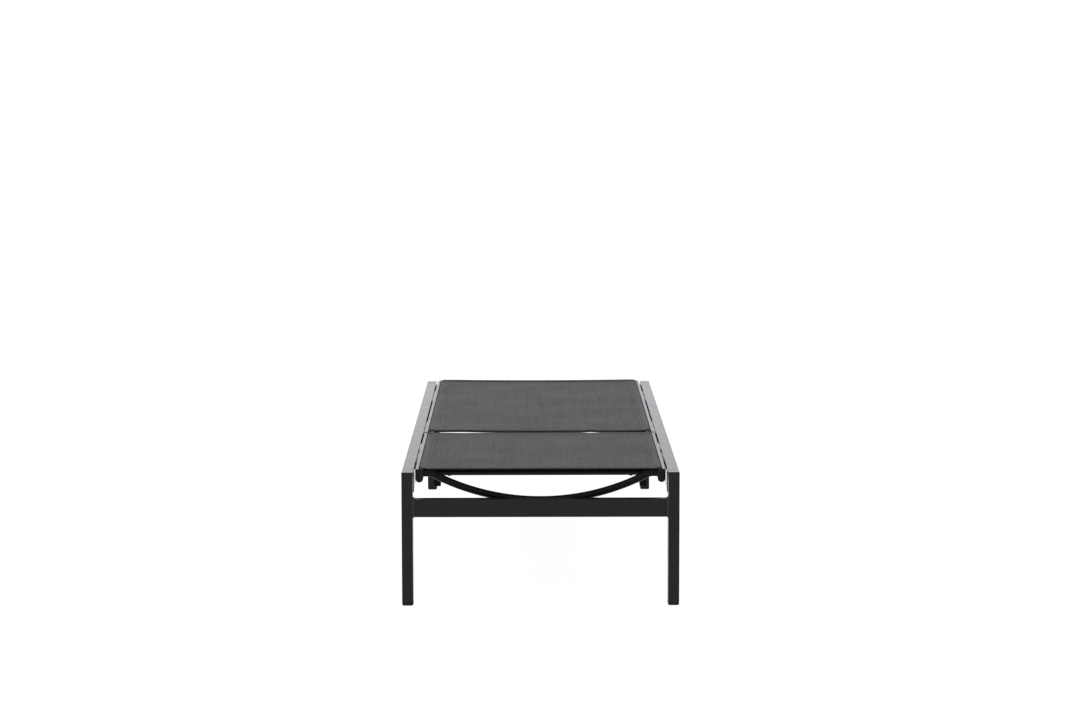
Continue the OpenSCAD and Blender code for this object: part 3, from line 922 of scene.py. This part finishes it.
def add_floor():
    """A floor whose white is mostly its own glow, so that the shadows on it stay faint."""
    corners = [
        (-FLOOR_HALF, -FLOOR_HALF, 0),
        (FLOOR_HALF, -FLOOR_HALF, 0),
        (FLOOR_HALF, FLOOR_HALF, 0),
        (-FLOOR_HALF, FLOOR_HALF, 0),
    ]
    mesh = bpy.data.meshes.new("floor")
    mesh.from_pydata(corners, [], [(0, 1, 2, 3)])
    floor = bpy.data.objects.new("floor", mesh)
    bpy.context.scene.collection.objects.link(floor)
    finish = Finish("floor_paper")
    finish.set(
        Base_Color=grey(FLOOR_ALBEDO),
        Roughness=0.9,
        Specular_IOR_Level=0.0,
        Emission_Color=grey(1.0),
        Emission_Strength=FLOOR_GLOW,
    )
    mesh.materials.append(finish.material)


def add_world():
    """Soft white surroundings, about half as bright on the head end's side."""
    world = bpy.data.worlds.new("studio")
    world.use_nodes = True
    tree = world.node_tree
    background = tree.nodes["Background"]
    background.inputs["Color"].default_value = STUDIO_TINT
    place = tree.nodes.new("ShaderNodeTexCoord")
    parts = tree.nodes.new("ShaderNodeSeparateXYZ")
    level = tree.nodes.new("ShaderNodeMapRange")
    level.interpolation_type = "SMOOTHSTEP"
    level.inputs["From Min"].default_value = STUDIO_TURN[0]
    level.inputs["From Max"].default_value = STUDIO_TURN[1]
    level.inputs["To Min"].default_value = STUDIO_FRONT
    level.inputs["To Max"].default_value = STUDIO_BACK
    gain = tree.nodes.new("ShaderNodeMath")
    gain.operation = "MULTIPLY_ADD"
    gain.inputs[1].default_value = STUDIO_TOP_GAIN
    tree.links.new(place.outputs["Generated"], parts.inputs[0])
    tree.links.new(parts.outputs["Y"], level.inputs["Value"])
    tree.links.new(parts.outputs["Z"], gain.inputs[0])
    tree.links.new(level.outputs[0], gain.inputs[2])
    tree.links.new(gain.outputs[0], background.inputs["Strength"])
    bpy.context.scene.world = world


def add_softbox(name, place, target, size, power):
    """A large soft light."""
    data = bpy.data.lights.new(name, "AREA")
    data.shape = "RECTANGLE"
    data.size, data.size_y = size
    data.energy = power
    lamp = bpy.data.objects.new(name, data)
    lamp.location = place
    lamp.rotation_euler = (Vector(target) - Vector(place)).to_track_quat("-Z", "Y").to_euler()
    bpy.context.scene.collection.objects.link(lamp)


def add_camera():
    """The camera at the photograph's viewpoint."""
    data = bpy.data.cameras.new("camera")
    data.lens = CAMERA_LENS
    data.sensor_width = CAMERA_SENSOR
    data.clip_end = CAMERA_REACH
    camera = bpy.data.objects.new("camera", data)
    flat = Vector((math.sin(CAMERA_YAW), math.cos(CAMERA_YAW), 0))
    ahead = flat * math.cos(CAMERA_PITCH) - Vector((0, 0, math.sin(CAMERA_PITCH)))
    level_right = ahead.cross(Vector((0, 0, 1))).normalized()
    level_up = level_right.cross(ahead)
    right = level_right * math.cos(CAMERA_ROLL) - level_up * math.sin(CAMERA_ROLL)
    up = level_right * math.sin(CAMERA_ROLL) + level_up * math.cos(CAMERA_ROLL)
    axes = Matrix((right, up, -ahead)).transposed()
    camera.matrix_world = Matrix.Translation(CAMERA_PLACE) @ axes.to_4x4()
    bpy.context.scene.collection.objects.link(camera)
    bpy.context.scene.camera = camera


add_camera()
add_world()
add_floor()
add_softbox("key", KEY_PLACE, KEY_TARGET, KEY_SIZE, KEY_POWER)
finish_cad_nodes()
make_sling("back", "back_sling", "back_rail_left", "back_keders", "backrest", BACK_HEMS)
make_sling("seat", "seat_sling", "seat_rail_left", "seat_keders", "frame", SEAT_HEMS)
add_welds()
add_fastener_heads()

bpy.context.scene.view_settings.view_transform = "Standard"
